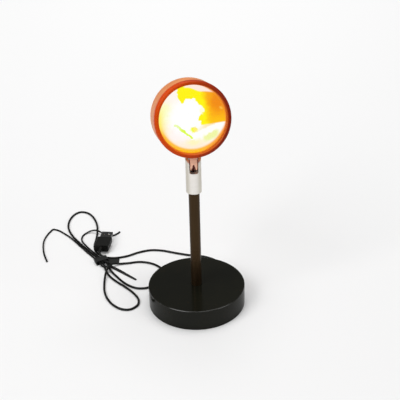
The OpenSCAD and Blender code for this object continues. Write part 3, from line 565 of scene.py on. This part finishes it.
def make_base_black():
    """Black paint. Its gloss is lower on the upright side, most of all where the side turns away, and
    higher on the rounded edge, where the paint is polished."""
    material, g, shader = new_material("base_black")
    effect = use_group(g, GRAIN, Scale=700.0)
    place = g.out(g.add("TexCoord"), "Object")
    radius = g.length(g.dot(place, (1, 0, 0)), g.dot(place, (0, 1, 0)))
    height = g.dot(place, (0, 0, 1))
    turned_away = g.out(g.add("LayerWeight", {"Blend": 0.5}), "Facing")
    outside = g.smooth(radius, BASE_R - 0.4 * MM, BASE_R - 0.05 * MM)
    side = outside * g.smooth(height, BASE_TOP - 0.6 * MM, BASE_TOP - 1.0 * MM)
    near_rim = g.smooth(radius, BASE_R - 0.7 * MM, BASE_R - 0.4 * MM)
    edge = near_rim * g.smooth(height, BASE_TOP - 0.9 * MM, BASE_TOP - 0.5 * MM)
    lower = side * g.smooth(turned_away, 0.1, 0.9, 0.04, 0.15)
    g.feed(shader.inputs["Specular IOR Level"], edge * 0.5 + 0.19 - lower)
    patches = g.out(effect, "Patches")
    g.feed(shader.inputs["Base Color"],
           g.mix(patches, (0.0066, 0.0068, 0.0045), (0.0084, 0.0084, 0.0052)))
    g.feed(shader.inputs["Roughness"], patches * 0.06 + 0.12)
    bump(g, shader, g.out(effect, "Height"), 0.35, 0.000003)
    return material


def make_barrel_satin():
    """Turned aluminium: fine rings round the upright axis, and painted shade, a duller, warmer
    colour where the round wall turns away from view."""
    material, g, shader = new_material("barrel_satin")
    effect = use_group(g, TURNED, Rings=1.0)
    streaks = g.out(effect, "Streaks")
    turned_away = g.out(g.add("LayerWeight", {"Blend": 0.5}), "Facing")
    metal = g.mix(streaks, (0.91, 0.875, 0.825), (0.95, 0.915, 0.87))
    # painted shade: a darker, warmer colour towards the barrel's outline
    metal = g.mix(g.smooth(turned_away, 0.06, 0.45), metal, (0.66, 0.625, 0.55))
    g.feed(shader.inputs["Base Color"], metal)
    g.feed(shader.inputs["Roughness"], streaks * 0.06 + 0.31)
    shader.inputs["Metallic"].default_value = 0.85
    bump(g, shader, g.out(effect, "Height"), 0.12, 0.00001)
    return material


base_black = make_base_black()
pole_brown = plain_finish("pole_brown", (0.058, 0.036, 0.018), (0.051, 0.031, 0.0155), 0.30,
                          metallic=0.7, relief=0.000004, specular=0.0)
barrel_satin = make_barrel_satin()
print("base, pole and barrel ready")

# %% [markdown]
# ## The head's shell
# The housing is sprayed copper-orange. The ring in front of it is a stronger orange-red with a
# smooth rounded edge. The lamp's own light shines into the ring's inner wall, so that wall is
# brighter than the ring's face. A real light inside the drum would make the picture grainy, so the
# wall is given a faint light of its own.

# %% Housing, bracket and ring
housing_copper = plain_finish("housing_copper", (0.95, 0.35, 0.11), (0.82, 0.27, 0.08), 0.42,
                              metallic=0.15, grain=1000.0, relief=0.00002)


def make_ring_orange():
    """Orange-red with painted shade that darkens it from the left side of the ring to the right, and
    on the inner wall a painted lighter colour and a glow that fade with the distance from the lens."""
    material, g, shader = new_material("ring_orange")
    disc = use_group(g, HEAD_DISC)
    effect = use_group(g, GRAIN, Scale=900.0)
    across, radius = g.out(disc, "Across"), g.out(disc, "Radius")
    # painted shade: the face colour darkens from the ring's left side to its right
    side = g.smooth(across, -1.0, 1.05)
    face = g.mix(side, (0.65, 0.064, 0.001), (0.24, 0.015, 0.0008))
    inner = g.smooth(radius, 1.035, 1.0)
    # painted light: the inner wall's colour is lifted towards a brighter orange
    g.feed(shader.inputs["Base Color"], g.mix(inner * 0.4, face, (0.70, 0.13, 0.007)))
    g.feed(shader.inputs["Roughness"], g.out(effect, "Patches") * 0.08 + 0.34)
    shader.inputs["Specular IOR Level"].default_value = 0.12
    g.feed(shader.inputs["Emission Color"], g.mix(side, (1.0, 0.20, 0.01), (0.95, 0.24, 0.01)))
    g.feed(shader.inputs["Emission Strength"], inner * 0.13)
    bump(g, shader, g.out(effect, "Height"), 0.25, 0.00002)
    return material


def make_bracket_peach():
    """Peach lacquer with painted shade: dark maroon inside a short distance of the pivot's axis and
    past a width to each side, where the slot's walls keep the light out."""
    material, g, shader = new_material("bracket_peach")
    effect = use_group(g, GRAIN, Scale=1000.0)
    place = g.out(g.add("TexCoord"), "Object")
    beside = g.math("ABSOLUTE", g.dot(place, (cos(HINGE_YAW), sin(HINGE_YAW), 0)))
    before = g.dot(place, (-sin(HINGE_YAW), cos(HINGE_YAW), 0))
    above = g.dot(place, (0, 0, 1)) - PIVOT.z
    # painted shade: dark round the pivot and past the slot's width, where the walls keep the light out
    round_pivot = g.smooth(g.length(before, above), 4.4 * MM, 3.6 * MM)
    on_side = g.smooth(beside, 3.0 * MM, 3.4 * MM)
    dark = g.math("MAXIMUM", round_pivot, on_side)
    g.feed(shader.inputs["Base Color"], g.mix(dark, (0.98, 0.56, 0.39), (0.46, 0.07, 0.012)))
    g.feed(shader.inputs["Roughness"], g.out(effect, "Patches") * 0.08 + 0.36)
    bump(g, shader, g.out(effect, "Height"), 0.3, 0.00002)
    return material


ring_orange = make_ring_orange()
bracket_peach = make_bracket_peach()
print("head shell ready")

# %% [markdown]
# ## The glowing filter
# Behind the clear dome lies a disc with a colour coating. Seen from the front with the lamp on it
# shows a white-hot middle, yellow above and beside it and deep orange towards the right, with pale
# bands below and at the top: the pale crescent at the top right and the white streak at the lower
# right are painted reflections. Each patch is a formula of the place on the disc: across and up, in
# lens radii. The patches are laid over one another from the back to the front. A picture file would
# be quicker, but it would look coarse from near by, and formulas stay sharp at any size.

# %% Filter picture


def make_filter_amber():
    """Layers of colour, each with a soft-edged mask: distance to a line or to an ellipse, bent a
    little by noise, then turned into 0 to 1."""
    material, g, shader = new_material("filter_amber")
    disc = use_group(g, HEAD_DISC)
    x0, y0 = g.out(disc, "Across"), g.out(disc, "Up")
    place = g.out(g.add("CombineXYZ", {0: x0, 1: y0}))
    x = x0 + (g.noise(place, 3.5, 2) - 0.5) * 0.08 + (g.noise(place, 8.0, 1) - 0.5) * 0.13
    turned = g.stretched(place, (1.0, -1.0, 1.0))
    y = y0 + (g.noise(turned, 4.1, 2) - 0.5) * 0.08 + (g.noise(turned, 9.0, 1) - 0.5) * 0.12

    def ellipse(cx, cy, rx, ry, soft):
        """1 inside the ellipse and 0 outside it, with an edge that many radii wide."""
        d = g.length((x - cx) / rx, (y - cy) / ry)
        return g.smooth(d, 1 + soft, 1 - soft)

    def segment(x1, y1, x2, y2, half, soft):
        """1 close to the straight line between two points and 0 away from it."""
        dx, dy = x2 - x1, y2 - y1
        along = ((x - x1) * dx + (y - y1) * dy) * (1 / (dx * dx + dy * dy))
        t = g.math("MINIMUM", g.math("MAXIMUM", along, 0.0), 1.0)
        d = g.length(x - t * dx - x1, y - t * dy - y1)
        return g.smooth(d, half + soft, half)

    def both(a, b):
        """Where both masks are 1."""
        return a * b

    def either(a, b):
        """Where one of the masks is 1."""
        return g.math("MAXIMUM", a, b)

    # pale ground: greenish cream at the left, white in the middle, pink to the lower left
    ground = g.mix(g.smooth(x, -1.0, -0.45), (1.0, 0.88, 0.42), (1.0, 0.985, 0.94))
    ground = g.mix(ellipse(-0.76, 0.26, 0.30, 0.30, 0.7) * 0.8, ground, (0.97, 1.0, 0.52))
    ground = g.mix(ellipse(-0.56, 0.72, 0.34, 0.26, 0.6) * 0.8, ground, (1.0, 0.91, 0.84))
    ground = g.mix(ellipse(-0.40, -0.48, 0.40, 0.34, 0.7) * 0.8, ground, (1.0, 0.88, 0.86))

    # the lower right: pink-cream at the bottom, a greenish patch over it, then the white streak, a painted
    # reflection
    ground = g.mix(g.smooth(y, -0.50, -0.80) * 0.85, ground, (1.0, 0.82, 0.62))
    ground = g.mix(ellipse(0.02, -0.66, 0.22, 0.09, 0.7) * 0.8, ground, (1.0, 0.90, 0.45))
    ground = g.mix(segment(0.38, -0.55, 0.66, -0.46, 0.04, 0.14) * 0.9, ground, (0.84, 0.90, 0.30))
    ground = g.mix(segment(0.26, -0.27, 0.62, -0.22, 0.05, 0.08) * 0.95, ground, (0.98, 0.80, 0.42))
    ground = g.mix(segment(0.0, -0.52, 0.98, -0.12, 0.05, 0.07), ground, (1.0, 0.995, 0.96))

    # white-hot middle, without an edge of its own
    ground = g.mix(ellipse(-0.16, 0.06, 0.52, 0.52, 0.35), ground, (1.0, 1.0, 1.0))

    # yellow: its left edge goes down from the arch in scallops, from one height to the next
    edge_x = g.smooth(y, 0.60, 0.56, -0.22, 0.10)
    for y_from, y_to, step in ((0.55, 0.42, 0.07), (0.44, 0.34, 0.085), (0.36, 0.27, 0.085),
                               (0.25, 0.06, -0.16), (0.0, -0.12, 0.06)):
        edge_x = edge_x + g.smooth(y, y_from, y_to, 0.0, step)
    right = both(g.smooth(x - edge_x, -0.015, 0.02), g.smooth(y0 - x0 * 0.07, -0.225, -0.18))
    tongue = both(ellipse(-0.28, 0.80, 0.115, 0.33, 0.08), g.smooth(y, 0.42, 0.50))
    warm = either(right, tongue)
    far = g.smooth(x + y * 0.16, 0.34, 0.60)
    amber = g.mix(far, (1.0, 0.90, 0.0), (0.97, 0.42, 0.0))
    amber = g.mix(both(g.smooth(y, 0.15, -0.15), g.smooth(x, 0.36, 0.60)) * 0.75, amber, (1.0, 0.58, 0.0))
    amber = g.mix(ellipse(0.80, 0.48, 0.26, 0.30, 0.5) * 0.85, amber, (0.87, 0.23, 0.0))
    picture = g.mix(warm, ground, amber)
    picture = g.mix(ellipse(0.85, 0.27, 0.05, 0.05, 0.6) * 0.6, picture, (1.0, 0.62, 0.08))
    picture = g.mix(ellipse(0.27, 0.23, 0.06, 0.09, 0.4) * 0.55, picture, (1.0, 1.0, 0.55))

    # a knotty greenish streak and a yellow patch below the middle
    knots = g.noise(place, 9.0, 2)
    streak = segment(-0.505, -0.134, -0.046, -0.54, 0.010, 0.05)
    streak = both(g.smooth(streak * 0.8 + knots * 0.6, 0.62, 0.85), g.smooth(x, -0.50, -0.24, 0.6, 1.0))
    picture = g.mix(streak, picture, (0.72, 0.96, 0.05))
    patch = g.mix(g.smooth(x, -0.04, 0.04), (0.90, 0.97, 0.02), (1.0, 0.87, 0.16))
    picture = g.mix(ellipse(0.03, -0.305, 0.13, 0.075, 0.35), picture, patch)

    # pale crescent at the top right, a painted reflection
    sill = g.smooth(x0, -0.12, 0.30, 0.90, 0.765) - g.smooth(x0, 0.30, 0.80, 0.0, 0.05)
    reflection_crescent = g.smooth(y0 - sill, -0.02, 0.03)
    picture = g.mix(both(reflection_crescent, g.smooth(x0, -0.24, -0.14)), picture, (1.0, 0.82, 0.74))

    # deep yellow band along the bottom, more orange at the right, and soft yellow at the left edge
    rim_d = g.length(x0, y0 - 0.10)
    rim = both(g.smooth(rim_d, 0.92, 1.00), g.smooth(y0, -0.12, -0.45))
    rim_tone = g.mix(g.smooth(x0, 0.1, 0.7), (1.0, 0.50, 0.005), (0.95, 0.36, 0.03))
    picture = g.mix(rim, picture, rim_tone)
    radius = g.out(disc, "Radius")
    edge = both(g.smooth(radius, 0.93, 0.98), g.smooth(x0, 0.2, 0.6))
    picture = g.mix(edge * 0.8, picture, (0.90, 0.30, 0.03))
    left_edge = both(g.smooth(radius, 0.78, 1.0), g.smooth(x0, -0.30, -0.75))
    left_tone = g.mix(g.smooth(y0, -0.05, -0.50), (1.0, 0.84, 0.08), (1.0, 0.50, 0.03))
    picture = g.mix(both(left_edge, g.smooth(y0, 0.45, 0.05)) * 0.9, picture, left_tone)

    shader.inputs["Base Color"].default_value = (0.01, 0.005, 0.0, 1)
    shader.inputs["Roughness"].default_value = 0.3
    shader.inputs["Transmission Weight"].default_value = 0.0
    shader.inputs["Specular IOR Level"].default_value = 0.0
    g.feed(shader.inputs["Emission Color"], picture)
    shader.inputs["Emission Strength"].default_value = 1.06
    return material


def make_lens_glass():
    """Clear moulded glass: its gloss varies very slightly and its surface is a little wavy."""
    material, g, shader = new_material("lens_glass")
    effect = use_group(g, GRAIN, Scale=260.0)
    shader.inputs["Base Color"].default_value = (1.0, 1.0, 1.0, 1)
    shader.inputs["Transmission Weight"].default_value = 1.0
    shader.inputs["IOR"].default_value = 1.45
    shader.inputs["Specular IOR Level"].default_value = 0.1
    g.feed(shader.inputs["Roughness"], g.out(effect, "Patches") * 0.015)
    bump(g, shader, g.out(effect, "Height"), 0.05, 0.00001)
    return material


filter_amber = make_filter_amber()
lens_glass = make_lens_glass()
print("filter nodes:", len(filter_amber.node_tree.nodes))

# %% [markdown]
# ## Inner pieces and fixings
# Most of these are hidden once the lamp is closed, but some show from below, through the cooling
# slots or in the hinge's slot, so each has a finish that suits such a part. One function makes
# nearly all of them, so the list below holds only what differs.

# %% Inner pieces
finishes = {
    "base_black": base_black,
    "pole_brown": pole_brown,
    "barrel_satin": barrel_satin,
    "housing_copper": housing_copper,
    "ring_orange": ring_orange,
    "filter_amber": filter_amber,
    "lens_glass": lens_glass,
}
FINE = 0.00001  # relief of a plated or drawn metal surface, in metres
for name, light, dark, rough, rest in (
    ("foam", (0.020, 0.020, 0.020), (0.012, 0.012, 0.012), 0.92, {"grain": 1400.0, "relief": 0.00020}),
    ("steel", (0.62, 0.62, 0.63), (0.50, 0.50, 0.52), 0.32, {"metallic": 1.0, "relief": FINE}),
    ("weight", (0.14, 0.14, 0.15), (0.07, 0.07, 0.08), 0.70,
     {"metallic": 0.6, "grain": 420.0, "relief": 0.00025}),
    ("brass", (0.83, 0.62, 0.28), (0.70, 0.50, 0.20), 0.28, {"metallic": 1.0, "relief": FINE}),
    ("dark_steel", (0.05, 0.05, 0.05), (0.03, 0.03, 0.03), 0.38, {"metallic": 0.7}),
    ("fibre_brown", (0.060, 0.018, 0.008), (0.040, 0.012, 0.006), 0.55, {}),
    ("wire_red", (0.20, 0.012, 0.006), (0.12, 0.008, 0.004), 0.42, {}),
    ("sink_aluminium", (0.78, 0.79, 0.80), (0.66, 0.67, 0.69), 0.36, {"metallic": 1.0}),
    ("board_white", (0.88, 0.88, 0.85), (0.80, 0.80, 0.77), 0.35, {}),
    ("reflector_white", (0.90, 0.90, 0.88), (0.84, 0.84, 0.82), 0.18, {}),
    ("clip_grey", (0.20, 0.20, 0.21), (0.14, 0.14, 0.15), 0.42, {}),
    ("cord_black", (0.0076, 0.0076, 0.0068), (0.0056, 0.0056, 0.005), 0.45,
     {"grain": 1600.0, "relief": 0.00003, "specular": 0.18}),
    ("plug_nickel", (0.085, 0.085, 0.085), (0.055, 0.055, 0.055), 0.34, {"metallic": 0.8, "relief": FINE}),
):
    finishes[name] = plain_finish(name, light, dark, rough, **rest)
print("finishes so far:", sorted(finishes))


def make_emitter_yellow():
    """The LED's phosphor, lit: brighter in the middle of its disc."""
    material, g, shader = new_material("emitter_yellow")
    disc = use_group(g, HEAD_DISC)
    glow = g.smooth(g.out(disc, "Radius"), 0.22, 0.0)
    g.feed(shader.inputs["Base Color"], g.mix(glow, (0.95, 0.70, 0.12), (1.0, 0.86, 0.30)))
    shader.inputs["Emission Color"].default_value = (1.0, 0.80, 0.35, 1)
    g.feed(shader.inputs["Emission Strength"], glow * 1.5)
    return material


def make_strap_black():
    """Woven tape: two sets of fine threads that cross at right angles, one over the other."""
    material, g, shader = new_material("strap_black")
    place = g.out(g.add("TexCoord"), "Object")
    threads = {"Vector": place, "Scale": 380.0, "Distortion": 0.6}
    warp, weft = (g.out(g.add("TexWave", threads, bands_direction=way), 1) for way in "XY")
    weave = g.math("MAXIMUM", warp, weft)
    g.feed(shader.inputs["Base Color"], g.mix(weave, (0.004, 0.004, 0.004), (0.013, 0.013, 0.012)))
    g.feed(shader.inputs["Roughness"], weave * -0.1 + 0.72)
    shader.inputs["Specular IOR Level"].default_value = 0.3
    bump(g, shader, weave, 0.6, 0.00012)
    return material


def make_gasket_amber():
    """Amber silicone that the lamp's light soaks into, so it glows a little from inside."""
    material, g, shader = new_material("gasket_amber")
    effect = use_group(g, GRAIN, Scale=900.0)
    tone = g.mix(g.out(effect, "Patches"), (0.65, 0.15, 0.01), (0.80, 0.22, 0.02))
    g.feed(shader.inputs["Base Color"], tone)
    g.feed(shader.inputs["Emission Color"], tone)
    shader.inputs["Emission Strength"].default_value = 0.6
    g.feed(shader.inputs["Roughness"], g.out(effect, "Height") * 0.1 + 0.45)
    return material


finishes["emitter_yellow"] = make_emitter_yellow()
finishes["gasket_amber"] = make_gasket_amber()
finishes["strap_black"] = make_strap_black()

# %% [markdown]
# ## Handing out the finishes
# The construction's record names a material slot for every piece, and the finish of that name goes
# on it. The bracket is the one exception: its slot is the housing's, but its lacquer is paler.

# %% Give every piece its finish
slot_of = {s["node"]: s["material_slot"] for s in frame["record"]["subparts"]}
for name, obj in nodes.items():
    finish = bracket_peach if name == "head_bracket" else finishes[slot_of[name]]
    obj.data.materials.clear()
    obj.data.materials.append(finish)
power_cord.data.materials.append(finishes["cord_black"])
bundle_tie.data.materials.append(finishes["cord_black"])
for piece in strap_pieces:
    piece.data.materials.append(finishes["strap_black"])
print("finishes:", len(finishes), "pieces:", len(nodes) + 2 + len(strap_pieces))

# %% [markdown]
# ## The studio
# The surroundings are plain white and the light is soft, from the left and above, so the ring's left
# side is lit more than its right side, and painted shade in the ring's colour darkens its right side
# further. The floor is large enough to fill the picture. For the camera alone it is lifted to near
# white, more so towards the back, where the lights reach it less, and it still takes the soft shadow.
# More light would whiten the floor too, but it would also bleach the lamp.

# %% Floor, world and lights
FLOOR_SIDE, FLOOR_FRONT, FLOOR_BACK = 6, -4, 12
floor_corners = [(-FLOOR_SIDE, FLOOR_FRONT, 0), (FLOOR_SIDE, FLOOR_FRONT, 0),
                 (FLOOR_SIDE, FLOOR_BACK, 0), (-FLOOR_SIDE, FLOOR_BACK, 0)]
floor_mesh = bpy.data.meshes.new("floor")
floor_mesh.from_pydata(floor_corners, [], [(0, 1, 2, 3)])
floor = bpy.data.objects.new("floor", floor_mesh)
scene.collection.objects.link(floor)

floor_white, fg, floor_shader = new_material("floor_white")
floor_shader.inputs["Base Color"].default_value = (0.80, 0.80, 0.80, 1)
floor_shader.inputs["Roughness"].default_value = 0.9
floor_shader.inputs["Specular IOR Level"].default_value = 0.0
floor_shader.inputs["Emission Color"].default_value = (1, 1, 1, 1)
LIFT_FROM_Y, LIFT_TO_Y = -0.2, 2.0
LIFT_FRONT, LIFT_BACK = 0.03, 0.55
seen = fg.out(fg.add("LightPath"), "Is Camera Ray")
depth = fg.dot(fg.out(fg.add("TexCoord"), "Object"), (0, 1, 0))
lift = fg.smooth(depth, LIFT_FROM_Y, LIFT_TO_Y, LIFT_FRONT, LIFT_BACK)
fg.feed(floor_shader.inputs["Emission Strength"], seen * lift)
floor_mesh.materials.append(floor_white)

world = bpy.data.worlds.new("studio")
scene.world = world
world.use_nodes = True
wg = Graph(world.node_tree)
paths = wg.add("LightPath")
back = wg.add("Background")
wend = wg.add("OutputWorld")
wg.tree.links.new(back.outputs[0], wend.inputs[0])
back.inputs["Color"].default_value = (1.0, 1.0, 1.0, 1)
WORLD_LIGHT = 0.18
WORLD_SEEN = 0.97
wg.feed(back.inputs["Strength"], wg.out(paths, "Is Camera Ray") * (WORLD_SEEN - WORLD_LIGHT) + WORLD_LIGHT)


def soft_box(name, place, aim, size, energy):
    """A square area light at a place, turned towards its aim."""
    light = bpy.data.lights.new(name, "AREA")
    light.size = size
    light.energy = energy
    obj = bpy.data.objects.new(name, light)
    obj.location = place
    obj.rotation_euler = (Vector(aim) - Vector(place)).to_track_quat("-Z", "Y").to_euler()
    scene.collection.objects.link(obj)


soft_box("key_left", place=(-1.1, -1.0, 1.5), aim=(0, 0, 0.1), size=1.2, energy=21.5)
soft_box("top", place=(0.1, 0.3, 1.9), aim=(0, 0.1, 0), size=1.4, energy=24)
soft_box("fill_right", place=(1.4, -0.7, 0.9), aim=(0, 0, 0.1), size=0.9, energy=5.5)
scene.view_settings.view_transform = "Standard"
